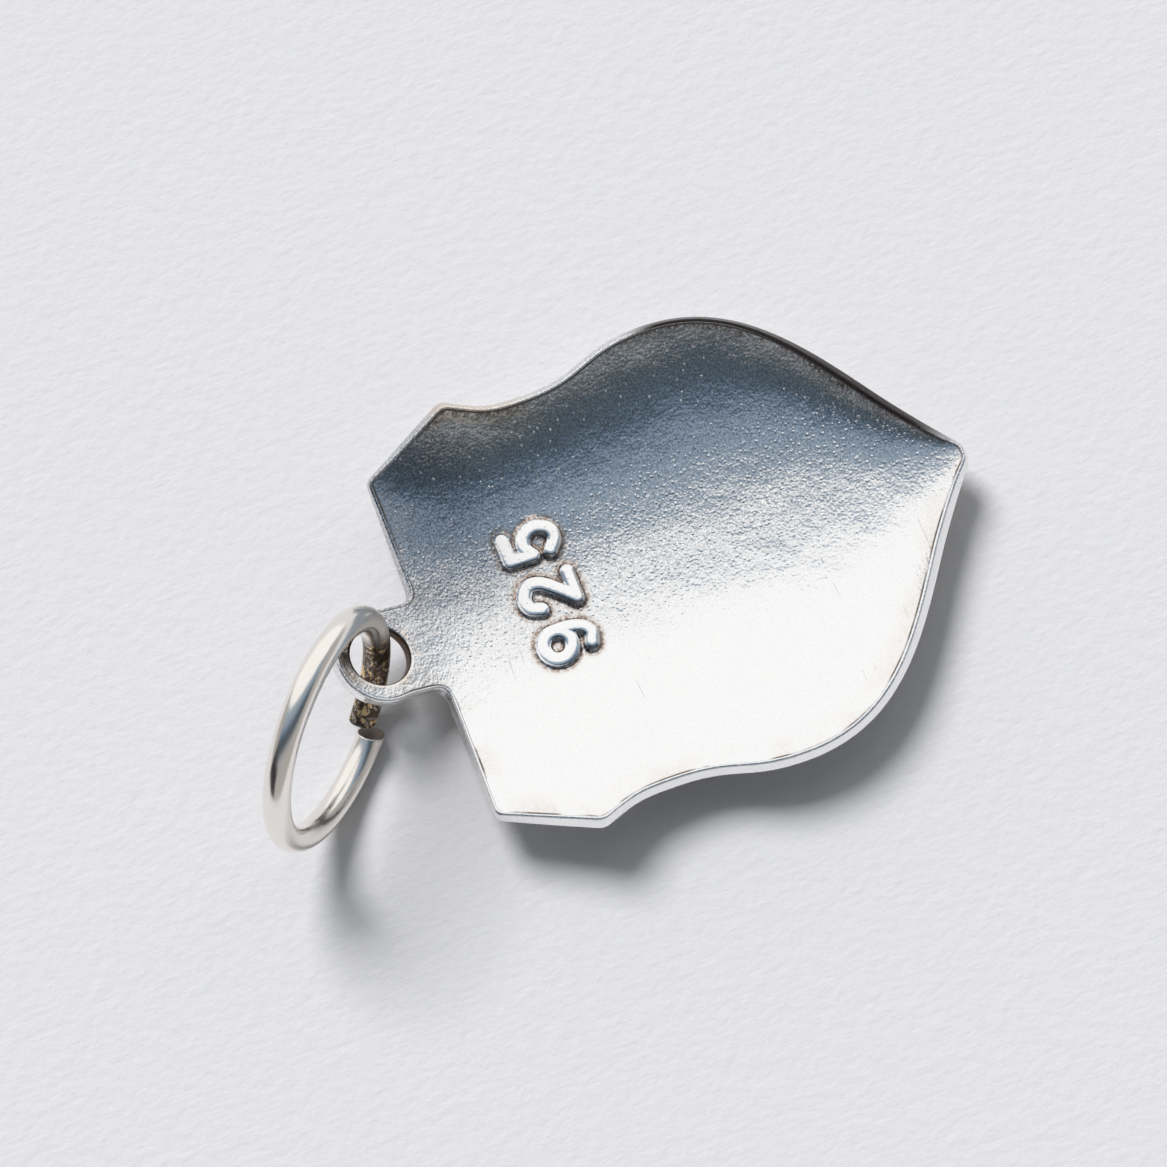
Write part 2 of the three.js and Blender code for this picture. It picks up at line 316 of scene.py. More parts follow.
FIGURES = {
    "nine": [loop(0.42, 0.58), through((1, 0.42), (0.98, -0.2), (0.7, -0.75), (0.1, -1), (-0.6, -0.9))],
    "two": [
        through((-0.95, 0.5), (-0.6, 0.93), (0.15, 1), (0.85, 0.7), (0.8, 0.2), (0, -0.4), (-1, -1)),
        through((-1, -1), (1, -1)),
    ],
    "five": [
        through((0.85, 1), (-0.8, 1)),
        through((-0.8, 1), (-0.9, 0.05)),
        through(
            (-0.9, 0.05), (-0.2, 0.28), (0.6, 0.12), (0.98, -0.35), (0.6, -0.88), (-0.2, -1), (-0.95, -0.7),
        ),
    ],
}
stroke_reach = np.array([FIGURE_WIDTH - STROKE, FIGURE_HEIGHT - STROKE]) / 2
strokes = [
    stroke * stroke_reach + [NUMBER_SIDE + (place - 1) * FIGURE_PITCH, -NUMBER_DROP]
    for place, figure in enumerate(["nine", "two", "five"])
    for stroke in FIGURES[figure]
]
print(len(strokes), "strokes")

# %% Distance to the strokes, and the ridge they raise
FAR_OFF, TINY = 9.0, 1e-12


def gap_to_line(points, line):
    """Distance from each point to the nearest of a line's straight pieces: the foot of the perpendicular on
    each piece, kept between the piece's ends."""
    start, way = line[:-1], np.diff(line, axis=0)
    share = ((points[:, None] - start) * way).sum(-1) / np.maximum((way * way).sum(-1), TINY)
    nearest = start + np.clip(share, 0, 1)[..., None] * way
    return np.linalg.norm(points[:, None] - nearest, axis=-1).min(1)


def gap_to_number(plan):
    """Distance from each place on the drawing to the nearest stroke's middle line. Places that aren't near
    the number only count as far off."""
    gap = np.full(len(plan), FAR_OFF)
    near_half = [2 * FIGURE_PITCH, FIGURE_HEIGHT]
    near = (np.abs(plan - [NUMBER_SIDE, -NUMBER_DROP]) < near_half).all(1)
    for line in strokes:
        gap[near] = np.minimum(gap[near], gap_to_line(plan[near], line))
    return gap


def ridge(points, gap):
    """The relief times one minus a power of the share of the half stroke: a flat crown with a steep foot.
    The relief is more where the dish lies lower than at the figure's middle, and less where it lies higher,
    so that the crown is nearly level."""
    share = np.clip(gap / (STROKE / 2), 0, 1)
    place = np.clip(np.round((points[:, 0] - NUMBER_SIDE) / FIGURE_PITCH), -1, 1)
    figure_height = height(NUMBER_SIDE + place * FIGURE_PITCH, np.full(len(points), -NUMBER_DROP))
    relief = RELIEF + LEVELLING * (figure_height - height(*points.T))
    return relief * (1 - share ** FLATNESS)


print("the ridges stand", RELIEF, "mm proud and are", STROKE, "mm wide")

# %% [markdown]
# ## The sheet as one grid
#
# The sheet could be a plane cut by the outline, but a boolean leaves ragged triangles that polished metal
# shows at once. Here two numbers name every place: a share of the way across and a drop. Lines of equal
# share run from the top edge to the tip, and draw together where the shield narrows. The grid is close
# where the number stands and at the corners, and open elsewhere.

# %% Columns and rows of the grid
CLOSE, MEDIUM, OPEN = 0.036, 0.05, 0.16
EDGE_SHARE, EDGE_DROP, TIP_STRETCH = 0.94, 0.5, 0.8
SHOULDER_SPARE, FIGURE_SPARE = 0.3, 0.1


def graded(*stops):
    """Rising list of numbers from stop to stop. Between two stops the steps are equal and near the wanted
    step, which stands between them."""
    parts = []
    for start, step, end in zip(stops[0::2], stops[1::2], stops[2::2]):
        parts.append(np.linspace(start, end, max(1, round((end - start) / step)), endpoint=False))
    return np.append(np.concatenate(parts), stops[-1])


corner = int(np.argmin(np.linalg.norm(shield_line - [TOP_WIDTH / 2, 0], axis=1)))
tip_corner = int(np.argmin(np.linalg.norm(shield_line - [TIP_WIDTH / 2, -HEIGHT], axis=1)))
corner_x, corner_y = shield_line[corner]
foot_x, foot_y = eye_line[foot]
number_half = FIGURE_PITCH + (FIGURE_WIDTH + STROKE) / 2
half_wide = SHOULDER_WIDTH / 2
columns = graded(
    -1, MEDIUM / half_wide, -EDGE_SHARE,
    OPEN / half_wide, (NUMBER_SIDE - number_half) / half_wide,
    CLOSE / half_wide, (EYE_SIDE - foot_x) / corner_x,
    CLOSE / half_wide, (EYE_SIDE + foot_x) / corner_x,
    CLOSE / half_wide, (NUMBER_SIDE + number_half) / half_wide,
    OPEN / half_wide, EDGE_SHARE,
    MEDIUM / half_wide, 1,
)
figure_half = FIGURE_HEIGHT / 2 + FIGURE_SPARE
drops = graded(
    -corner_y, MEDIUM, EDGE_DROP, OPEN, SHOULDER_DROP - SHOULDER_SPARE,
    CLOSE, NUMBER_DROP + figure_half, OPEN, HEIGHT - TIP_STRETCH, MEDIUM, -shield_line[tip_corner, 1],
)
print(len(columns), "columns,", len(drops), "rows")

# %% Places of the grid's points
BOW_REACH, FILLET_REACH = 0.9, 3.0


def top_edge(x):
    """Height on the drawing of the sheet's top row: the softened top edge, the fillets beside the eye, and
    a straight line from one foot of the eye to the other."""
    order = slice(0, corner + 1)
    edge = np.interp(np.abs(x), shield_line[order, 0], shield_line[order, 1])
    aside = np.abs(x - EYE_SIDE)
    fillet = np.interp(aside, eye_line[foot:, 0], eye_line[foot:, 1])
    return np.where(aside < foot_x, foot_y, np.where(aside < FILLET_REACH, fillet, edge))


def tip_edge(x):
    """Height on the drawing of the sheet's last row, round the tip."""
    end = shield_line[:tip_corner - 1:-1]
    return np.interp(np.abs(x), end[:, 0], end[:, 1])


def eased(distance):
    """One at no distance, falling to nought at the bow's reach, level there."""
    return np.clip(1 - distance / BOW_REACH, 0, 1) ** 2


side = np.interp(drops, -shield_line[corner:tip_corner + 1, 1], shield_line[corner:tip_corner + 1, 0])
top_bow = top_edge(columns * side[0]) - corner_y
tip_bow = tip_edge(columns * side[-1]) + drops[-1]
top_bow[[0, -1]] = tip_bow[[0, -1]] = 0
sheet_x = columns * side[:, None]
sheet_y = (
    -drops[:, None]
    + top_bow * eased(drops - drops[0])[:, None]
    + tip_bow * eased(drops[-1] - drops)[:, None]
)
sheet_plan = np.stack([sheet_x, sheet_y], -1)
left_foot, right_foot = (
    int(np.argmin(np.abs(sheet_x[0] - EYE_SIDE - way * foot_x))) for way in (-1, 1)
)
print("the eye stands on columns", left_foot, "to", right_foot)

# %% [markdown]
# ## The eye as a patch round its hole
#
# A hole punched by a boolean would again leave long splinters. The eye's patch is a ring of straight
# spokes instead: each spoke joins a point of the hole's edge to a point of the eye's outline or of the
# sheet's top row. The top row is shared, so eye and dish are one skin, as they are on the real piece. The
# spokes start part of the way between where they point and equal steps round the hole, so none crowd.

# %% Spokes of the eye
EYE_STEP = 0.05
SPOKE_POINTS = 12
EVENNESS = 0.4

half_round = evenly(eye_line[:foot + 1], EYE_STEP)
eye_round = np.vstack([half_round[:0:-1] * [-1, 1], half_round]) + [EYE_SIDE, 0]
eye_round[0], eye_round[-1] = sheet_plan[0, left_foot], sheet_plan[0, right_foot]
base = sheet_plan[0, left_foot + 1:right_foot][::-1]
spoke_ends = np.vstack([eye_round, base])

way_out = (spoke_ends - hole_middle[:2]) / FORESHORTEN
bearing = np.unwrap(np.arctan2(way_out[:, 1], way_out[:, 0]))
travelled = along(np.vstack([spoke_ends, spoke_ends[:1]]))
even_bearing = bearing[0] - 2 * np.pi * travelled[:-1] / travelled[-1]
bearing = (1 - EVENNESS) * bearing + EVENNESS * even_bearing
hole_half = np.array([HOLE_WIDTH, HOLE_LENGTH]) / 2 + RIM_BAND
spoke_starts = hole_middle[:2] + FORESHORTEN * hole_half * np.column_stack([np.cos(bearing), np.sin(bearing)])
share = np.linspace(0, 1, SPOKE_POINTS)[:, None, None]
eye_plan = (1 - share) * spoke_starts + share * spoke_ends
eye_plan[-1] = spoke_ends
print(len(spoke_ends), "spokes")

# %% Number the places, so that shared ones are one point
every_place = np.vstack([sheet_plan.reshape(-1, 2), eye_plan.reshape(-1, 2)])
plan, number_of = np.unique(every_place, axis=0, return_inverse=True)
number_of = number_of.reshape(-1)
sheet_number = number_of[:sheet_x.size].reshape(sheet_x.shape)
eye_number = number_of[sheet_x.size:].reshape(eye_plan.shape[:2])


def grid_faces(numbers, closed=False):
    """Four-cornered faces of a grid of point numbers: each joins a point to the next one down, the one beside
    that, and the one beside the first. A closed grid's last column joins its first."""
    if closed:
        numbers = np.hstack([numbers, numbers[:, :1]])
    here, down = numbers[:-1], numbers[1:]
    return np.stack([here[:, :-1], down[:, :-1], down[:, 1:], here[:, 1:]], -1).reshape(-1, 4)


skin_faces = np.vstack([grid_faces(sheet_number), grid_faces(eye_number, closed=True)[:, ::-1]])
outer_loop = np.concatenate([
    sheet_number[0, :left_foot],
    eye_number[-1, :len(eye_round)],
    sheet_number[0, right_foot + 1:],
    sheet_number[1:, -1],
    sheet_number[-1, -2::-1],
    sheet_number[-2:0:-1, 0],
])
hole_loop = eye_number[0, ::-1]
print(len(plan), "places,", len(skin_faces), "faces on each side of the sheet")

# %% [markdown]
# ## Thickness and rim
#
# Solidify would give the sheet a plain square edge. A struck and trimmed edge is not square: the cutter
# drags up a fine bright lip on the back, the wall below it is upright, and the front edge is rubbed round.
# So the two faces stand off the middle surface by half the sheet, and the edge is a profile carried along
# the outline. The hole was punched and then worn by the ring, so its profile is only rounded.

# %% Profiles of the rim and of the hole, as distance out past the edge and height over the middle
HALF = SHEET / 2
RIM_PROFILE = np.array([
    (-0.106, HALF - 0.004), (-0.097, HALF - 0.002), (-0.089, HALF + 0.007), (-0.079, HALF + 0.016),
    (-0.067, HALF + 0.020), (-0.053, HALF + 0.018), (-0.037, HALF + 0.010), (-0.021, HALF - 0.003),
    (-0.008, HALF - 0.021), (-0.001, HALF - 0.043), (0.0, HALF - 0.065), (0.0, -0.05), (0.0, -HALF + 0.075),
    (-0.006, -HALF + 0.045), (-0.020, -HALF + 0.020), (-0.042, -HALF + 0.005), (-0.070, -HALF),
])
HOLE_PROFILE = np.array([
    (-0.095, HALF), (-0.070, HALF - 0.003), (-0.045, HALF - 0.011), (-0.024, HALF - 0.024),
    (-0.009, HALF - 0.044), (-0.001, HALF - 0.070), (0.0, 0.04), (0.0, -0.04), (-0.001, -HALF + 0.070),
    (-0.009, -HALF + 0.044), (-0.024, -HALF + 0.024), (-0.045, -HALF + 0.011), (-0.070, -HALF + 0.003),
])
print("the lip stands", round(RIM_PROFILE[:, 1].max() - HALF, 3), "mm proud of the back")

# %% Carry the profiles along the outline and the hole
def carried(loop_numbers, profile, first_number):
    """Points and faces of a profile carried along a loop. Outwards is the left of the loop's own direction,
    laid into the sheet's surface, and a profile point is the loop's point moved out and up from there."""
    here = plan[loop_numbers]
    way = unit(here - np.roll(here, 1, 0)) + unit(np.roll(here, -1, 0) - here)
    up = upright(*here.T)
    out = np.column_stack([-way[:, 1], way[:, 0], np.zeros(len(way))])
    out = unit(out - (out * up).sum(1)[:, None] * up)
    middle = np.column_stack([here, height(*here.T)])
    points = middle + (RIM_BAND + profile[:, :1, None]) * out + profile[:, 1:, None] * up
    rows = first_number + np.arange(len(profile) * len(here)).reshape(len(profile), -1)
    rows = np.vstack([loop_numbers, rows, loop_numbers + len(plan)])
    return points.reshape(-1, 3), grid_faces(rows, closed=True)


up = upright(*plan.T)
middle = np.column_stack([plan, height(*plan.T)])
number_gap = gap_to_number(plan)
back = middle + (HALF + ridge(plan, number_gap))[:, None] * up
front = middle - HALF * up
rim_points, rim_faces = carried(outer_loop, RIM_PROFILE, 2 * len(plan))
wall_points, wall_faces = carried(hole_loop, HOLE_PROFILE, 2 * len(plan) + len(rim_points))
shield_points = np.vstack([back, front, rim_points, wall_points]) + move
shield_faces = np.vstack([
    skin_faces, skin_faces[:, ::-1] + len(plan), rim_faces[:, ::-1], wall_faces[:, ::-1],
])
print(len(shield_points), "points and", len(shield_faces), "faces in the shield")

# %% Distances that the finish needs: to the rim, to the hole and to the number
PLACES_AT_A_TIME = 300


def gap_to_loop(points, loop_numbers):
    """Distance from each place to a closed loop of places, worked out a few hundred places at a time."""
    line = plan[np.append(loop_numbers, loop_numbers[0])]
    parts = np.array_split(points, len(points) // PLACES_AT_A_TIME)
    return np.concatenate([gap_to_line(part, line) for part in parts])


def each_face(on_back, on_front, on_rim, on_wall):
    """One number for every point of the shield, in the order of its points."""
    return np.concatenate([
        np.broadcast_to(on_back, len(plan)), np.broadcast_to(on_front, len(plan)),
        np.repeat(on_rim, len(outer_loop)), np.repeat(on_wall, len(hole_loop)),
    ])


rim_gap = gap_to_loop(plan, outer_loop) + RIM_BAND
hole_gap = gap_to_loop(plan, hole_loop) + RIM_BAND
rim_far = np.full(len(RIM_PROFILE), FAR_OFF)
wall_far = np.full(len(HOLE_PROFILE), FAR_OFF)
shield_marks = {
    "from_rim": each_face(rim_gap, rim_gap, -RIM_PROFILE[:, 0], wall_far),
    "from_hole": each_face(hole_gap, hole_gap, rim_far, -HOLE_PROFILE[:, 0]),
    "from_number": each_face(number_gap, FAR_OFF, rim_far, wall_far),
}
print("the rim is at most", rim_gap.max().round(2), "mm away")

# %% [markdown]
# ## Handing a surface to Blender
#
# A piece's place is in its mesh and its object stays at the origin, so the millimetres are turned into
# metres here and nowhere else. The distances go along as attributes, one number for each point, and the
# finish reads them by name.

# %% Make a piece from points and faces
def make_piece(name, points, faces, marks):
    """A smooth-shaded mesh object at the origin, from points in millimetres, with its marks as attributes:
    one number or one place for each point."""
    mesh = bpy.data.meshes.new(name)
    mesh.from_pydata((points * MM).tolist(), [], faces)
    mesh.validate()
    mesh.shade_smooth()
    for mark, values in marks.items():
        kind, field = ("FLOAT", "value") if values.ndim == 1 else ("FLOAT_VECTOR", "vector")
        mesh.attributes.new(mark, kind, "POINT").data.foreach_set(field, values.astype(np.float32).ravel())
    piece = bpy.data.objects.new(name, mesh)
    bpy.context.scene.collection.objects.link(piece)
    print(name, "has", sum(len(face) - 2 for face in faces), "triangles")
    return piece


shield = make_piece("shield_with_eye_and_number", shield_points, shield_faces.tolist(), shield_marks)
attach(shield, "shield")
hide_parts("shield_body")

# %% [markdown]
# ## The jump ring
#
# A jump ring is one turn of a wound coil, sawn off, so it has a narrow cut whose ends stand a little out
# of line. Blender's torus has no cut, and a curve with a bevel has plain flat ends. Here the wire's round
# section is carried along one open turn: a circle that also steps sideways by the same small amount all
# the way round. The last few sections of each end shrink, which rubs the sawn edge round, and slant, as the
# saw went a little askew.

# %% The open turn
WIRE_RADIUS, RING_RADIUS = 0.386, 3.15
CUT_WIDTH, CUT_STEP, CUT_ANGLE = 0.23, 0.35, 251.5
RING_HEADING, RING_LEAN, WIRE_ASIDE = 46, 11, 0.12
CAD_WIRE_RADIUS = 0.39
BURR = 0.035
SAW_SLANT, SLANT_REACH = 0.42, 0.6
END_TURN, SECTIONS = 0.05, 360

cut_turn = CUT_WIDTH / RING_RADIUS
turn_start = math.radians(CUT_ANGLE) + cut_turn / 2
turn = 2 * math.pi - cut_turn


def side_step(angle):
    """How far the coil has moved along its axis at an angle: the same amount for each degree."""
    return CUT_STEP * (0.5 - (angle - turn_start) / turn)


cap = np.array([
    (0, 0.30 * WIRE_RADIUS), (0, 0.60 * WIRE_RADIUS), (0, 0.80 * WIRE_RADIUS), (0, WIRE_RADIUS - BURR),
    (0.15 * BURR, WIRE_RADIUS - 0.55 * BURR), (0.45 * BURR, WIRE_RADIUS - 0.2 * BURR), (BURR, WIRE_RADIUS),
    (2 * BURR, WIRE_RADIUS),
])
body_angles = np.linspace(END_TURN, turn - END_TURN, SECTIONS)
travelled = np.concatenate([cap[:, 0] / RING_RADIUS, body_angles, turn - cap[::-1, 0] / RING_RADIUS])
section = np.concatenate([cap[:, 1], np.full(len(body_angles), WIRE_RADIUS), cap[::-1, 1]])
angle = turn_start + travelled
print("the ring has", len(angle), "sections")

# %% Stand the ring in the eye
def turned(axis, degrees):
    """Rotation matrix about X or Z."""
    c, s = math.cos(math.radians(degrees)), math.sin(math.radians(degrees))
    return np.array([[1, 0, 0], [0, c, -s], [0, s, c]] if axis == "X" else [[c, -s, 0], [s, c, 0], [0, 0, 1]])


lean = math.radians(RING_LEAN)
ring_height = RING_RADIUS * math.cos(lean) + CAD_WIRE_RADIUS
over_hole = (ring_height - hole_middle[2]) / math.cos(lean)
beside_hole = math.sqrt(RING_RADIUS ** 2 - over_hole ** 2)
hole_angle = 3 * math.pi + math.asin(over_hole / RING_RADIUS)
foot_rise = (side_step(1.5 * math.pi) - side_step(hole_angle)) * math.sin(lean)
leaning, heading = turned("X", RING_LEAN), turned("Z", 90 + RING_HEADING)


def in_place(points):
    """Points of the flat ring, taken through its lean, its seat in the eye and its heading."""
    seated = (points - [0, side_step(hole_angle), 0]) @ leaning.T
    seated = seated + [beside_hole, -over_hole * math.sin(lean), ring_height - foot_rise]
    return seated @ heading.T + [hole_middle[0] + WIRE_ASIDE, hole_middle[1], 0] + move


print("the ring's middle stands", round(ring_height, 3), "mm high")

# %% The wire's skin and its two ends
ROUND = 64
around = np.linspace(0, 2 * np.pi, ROUND, endpoint=False)


def on_turn(angle, outward, sideward):
    """Point of the open turn at an angle, moved outwards and along the coil's axis."""
    reach = RING_RADIUS + outward
    return np.stack([reach * np.cos(angle), side_step(angle) + sideward, reach * np.sin(angle)], -1)


to_an_end = np.minimum(travelled, turn - travelled) * RING_RADIUS
askew = SAW_SLANT * np.clip(1 - to_an_end / SLANT_REACH, 0, 1)
outward, sideward = section[:, None] * np.cos(around), section[:, None] * np.sin(around)
slanted = angle[:, None] - askew[:, None] * outward / RING_RADIUS
wire_skin = on_turn(slanted, outward, sideward).reshape(-1, 3)
wire_numbers = np.arange(len(wire_skin)).reshape(len(angle), ROUND)
wire_points = in_place(np.vstack([wire_skin, on_turn(angle[[0, -1]], 0, 0)]))
first, last = wire_numbers[0], wire_numbers[-1]
start_middle, end_middle = len(wire_points) - 2, len(wire_points) - 1
start_cap = np.column_stack([np.full(ROUND, start_middle), np.roll(first, -1), first])
end_cap = np.column_stack([np.full(ROUND, end_middle), last, np.roll(last, -1)])
wire_faces = grid_faces(wire_numbers, closed=True)[:, ::-1].tolist() + start_cap.tolist() + end_cap.tolist()
print("the wire's lowest point is", wire_points[:, 2].min().round(4), "mm over the paper")

# %% Marks of the ring: grime by the eye, the sawn faces, and the wire laid out straight
# The angles count on from the cut, once round. The hole is at 570 degrees, a little past the grime's start.
GRIME_FROM, GRIME_FULL = 541, 556
degrees = np.degrees(angle)
grime = np.clip((degrees - GRIME_FROM) / (GRIME_FULL - GRIME_FROM), 0, 1)
sawn = (section < WIRE_RADIUS - 0.5 * BURR).astype(float)
straight = np.stack(
    np.broadcast_arrays((travelled * RING_RADIUS)[:, None], outward, sideward), -1,
).reshape(-1, 3)
ends = np.array([[0, 0, 0], [turn * RING_RADIUS, 0, 0]])
wire_marks = {
    "grime": np.append(np.repeat(grime, ROUND), [0, 1]),
    "sawn": np.append(np.repeat(sawn, ROUND), [1, 1]),
    "straight": np.vstack([straight, ends]),
}
ring = make_piece("open_jump_ring", wire_points, wire_faces, wire_marks)
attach(ring, "ring")
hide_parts("jump_ring")

# %% [markdown]
# ## Writing finishes as sums
#
# A finish is a few sums over distances and noise, and a page of node links hides them. So one small class
# wraps a node's output and lets Python's own signs add the Math nodes, and one method makes any other
# node from its type, its settings and what goes into its sockets.

# %% A signal that can be reckoned with
class Signal:
    """The output of a node. Adding, subtracting, multiplying, dividing or raising it makes a Math node."""

    def __init__(self, bench, socket):
        self.bench, self.socket = bench, socket

    def sum(self, operation, first, second):
        return self.bench.node("ShaderNodeMath", {"operation": operation}, {0: first, 1: second})

    def __add__(self, other):
        return self.sum("ADD", self, other)

    def __radd__(self, other):
        return self.sum("ADD", other, self)

    def __sub__(self, other):
        return self.sum("SUBTRACT", self, other)

    def __rsub__(self, other):
        return self.sum("SUBTRACT", other, self)

    def __mul__(self, other):
        return self.sum("MULTIPLY", self, other)

    def __rmul__(self, other):
        return self.sum("MULTIPLY", other, self)

    def __truediv__(self, other):
        return self.sum("DIVIDE", self, other)

    def __pow__(self, other):
        return self.sum("POWER", self, other)


print("signals can be added, subtracted, multiplied, divided and raised")

# %% The bench where nodes are made
class Bench:
    """The node tree of a material or a world."""

    def __init__(self, owner):
        owner.use_nodes = True
        self.tree = owner.node_tree
        self.tree.nodes.clear()

    def node(self, kind, settings=None, sockets=None, output=0):
        """Makes a node: its settings first, with a ramp's stops as (place, colour) pairs, and then the
        values or the signals of its sockets. Gives back one output, where the node has any."""
        made = self.tree.nodes.new(kind)
        for setting, value in (settings or {}).items():
            if setting == "stops":
                self.set_stops(made.color_ramp, value)
            else:
                setattr(made, setting, value)
        for name, value in (sockets or {}).items():
            if isinstance(value, Signal):
                self.tree.links.new(value.socket, made.inputs[name])
            else:
                made.inputs[name].default_value = value
        return Signal(self, made.outputs[output]) if made.outputs else None

    def set_stops(self, ramp, stops):
        """Puts a ramp's stops at their places."""
        while len(ramp.elements) < len(stops):
            ramp.elements.new(1.0)
        for element, (place, colour) in zip(ramp.elements, stops):
            element.position, element.color = place, (*colour, 1)

    def step(self, value, start, end):
        """Nought before the start and one past the end, with a smooth rise between. It falls if the start is
        past the end."""
        return self.node(
            "ShaderNodeMapRange", {"interpolation_type": "SMOOTHSTEP"},
            {"Value": value, "From Min": start, "From Max": end},
        )

    def most(self, *shares):
        """The largest of some shares, kept between nought and one."""
        largest = shares[0]
        for share in shares[1:]:
            largest = self.node(
                "ShaderNodeMath", {"operation": "MAXIMUM", "use_clamp": True}, {0: largest, 1: share},
            )
        return largest

    def blend(self, share, first, second, way="MIX"):
        """Mix of two colours by a share. With MULTIPLY, the second one tints the first by that share."""
        settings = {"data_type": "RGBA", "blend_type": way}
        return self.node("ShaderNodeMix", settings, {0: share, 6: first, 7: second}, 2)

    def millimetres(self):
        """The object's own coordinates, in millimetres."""
        place = self.node("ShaderNodeTexCoord", output="Object")
        return self.node("ShaderNodeVectorMath", {"operation": "SCALE"}, {0: place, "Scale": 1 / MM})

    def mark(self, name, output="Fac"):
        """One of the piece's own marks."""
        return self.node("ShaderNodeAttribute", {"attribute_name": name}, output=output)

    def size_of(self, value):
        """A number without its sign."""
        return self.node("ShaderNodeMath", {"operation": "ABSOLUTE"}, {0: value})

    def towards(self, place, way):
        """How far a place lies along a direction."""
        return self.node("ShaderNodeVectorMath", {"operation": "DOT_PRODUCT"}, {0: place, 1: way}, "Value")

    def noise(self, place, size, detail=2.0, roughness=0.5):
        """Cloudy noise around one half, whose blotches are about the given size in millimetres."""
        return self.node(
            "ShaderNodeTexNoise", None,
            {"Vector": place, "Scale": 1 / size, "Detail": detail, "Roughness": roughness},
        )

    def stretched(self, place, ways):
        """The place with each axis multiplied, so that a pattern is longer where the number is under one."""
        return self.node("ShaderNodeVectorMath", {"operation": "MULTIPLY"}, {0: place, 1: ways})


def finish_of(name):
    """A new empty material and its bench."""
    material = bpy.data.materials.new(name)
    return material, Bench(material)


print("bench ready")

# %% [markdown]
# ## Satin silver with a pebbled skin
#
# The back was never polished: it keeps the fine pebbled skin of the annealed and pickled sheet, a little
# like orange peel, with bright specks and some hair scratches. Silver darkens where nothing rubs it, so
# there is brown in the crease inside the lip, round the figures and round the hole. Metal has no colour
# of its own besides its reflection, so the tarnish is a change of the reflected colour, and the skin is a
# bump so fine that it would not be worth its weight in triangles. Shade is painted into that colour too:
# on the figures' flanks that face away from the light, and in one darker patch of the dish.

# %% Colours of the sheet, and ways across it
SILVER, DUST_AND_SHADE_GREY = (0.96, 0.955, 0.95, 1), (0.30, 0.31, 0.33, 1)
STRAW, OLIVE = (0.80, 0.68, 0.57, 1), (0.30, 0.235, 0.18, 1)
RUST, UMBER, NEAR_BLACK = (0.28, 0.175, 0.125, 1), (0.11, 0.075, 0.055, 1), (0.035, 0.028, 0.025, 1)
PAINTED_SHADE_TONE, KHAKI = (0.13, 0.13, 0.15, 1), (1.0, 0.84, 0.66, 1)
FAR_WAY, EYE_WAY = (0.93, -0.36, 0), (0.36, 0.93, 0)

satin, bench = finish_of("satin_silver")
place = bench.millimetres()
from_rim, from_hole, from_number = (bench.mark(name) for name in ("from_rim", "from_hole", "from_number"))
across, lengthwise = bench.towards(place, (1, 0, 0)), bench.towards(place, (0, 1, 0))
far, eyeward = bench.towards(place, FAR_WAY), bench.towards(place, EYE_WAY)
print("the far side lies towards", FAR_WAY)

# %% [markdown]
# ## Wear, tarnish and painted shade as spans
#
# Every mark below is a smooth step over a span: the place where it starts and the place where it is full,
# in millimetres along a distance or a direction. Spans on a noise, around one half, say how much of the
# metal a patchy mark takes. Products of steps then say "near the rim, on the far side, in patches".

# %% Patches, dust, and the half that no hand has rubbed
PATCH, BLOTCH, DUST_GRAIN = 1.1, 0.10, 0.055
MOTTLED, DUSTY = (0.35, 0.65), (0.40, 0.60)
CROWN, UNRUBBED, FAR_EDGE = (0.22, 0.16), (-2.0, 2.0), (3.8, 4.8)

patches = bench.noise(place, PATCH, 3)
mottle = bench.step(bench.noise(place, BLOTCH, 3, 0.7), *MOTTLED)
crown = bench.step(from_number, *CROWN)
dust = bench.step(bench.noise(place, DUST_GRAIN, 2, 0.7), *DUSTY) * (1 - 0.85 * crown)
unrubbed = bench.step(across, *UNRUBBED)
far_edge = bench.step(far, *FAR_EDGE)
print("the far edge starts at", FAR_EDGE[0], "mm")

# %% Where the sheet is brown: the crease inside the lip, the far margin, the hole and the figures' feet
INSIDE_LIP, CREASE, FAR_MARGIN = (0.085, 0.105), (0.16, 0.12), (0.50, 0.12)
FAR_LIP, BY_THE_TIP, HOLE_WALL = (0.085, 0.06), (-3.0, -4.2), (0.05, 0.02)
FIGURE_FOOT, FOOT_FADE = (0.19, 0.235), (0.42, 0.28)
CREASE_PATCHES, MARGIN_PATCHES = (0.42, 0.62), (0.35, 0.55)

inside_lip = bench.step(from_rim, *INSIDE_LIP)
crease = inside_lip * bench.step(from_rim, *CREASE)
crease = crease * bench.most(bench.step(patches, *CREASE_PATCHES), far_edge)
far_margin = inside_lip * bench.step(from_rim, *FAR_MARGIN) * far_edge
far_margin = far_margin * mottle * bench.step(patches, *MARGIN_PATCHES)
# A near-black line on the far side's lip, towards the tip.
far_lip = bench.step(from_rim, *FAR_LIP) * far_edge * bench.step(lengthwise, *BY_THE_TIP)
brown = bench.most(crease * 0.9, far_margin * 0.9, bench.step(from_hole, *HOLE_WALL))
foot_of_figures = bench.step(from_number, *FIGURE_FOOT) * bench.step(from_number, *FOOT_FADE)
foot_of_figures = foot_of_figures * (0.1 + 0.9 * mottle)
print("brown inside the lip up to", FAR_MARGIN[0], "mm from the rim")

# %% Painted shade on the figures' flanks that face away from the light
FLANK_TILT, FLANK_END = (-0.14, -0.42), (0.31, 0.27)

# Painted shade: flanks whose normals turn away from the far side, where the light stands, get a dark colour.
facing_far = bench.towards(bench.node("ShaderNodeTexCoord", output="Normal"), FAR_WAY)
painted_flank_shade = bench.step(facing_far, *FLANK_TILT) * bench.step(from_number, *FLANK_END)
print("flanks are dark up to", FLANK_END[0], "mm from a stroke's middle")
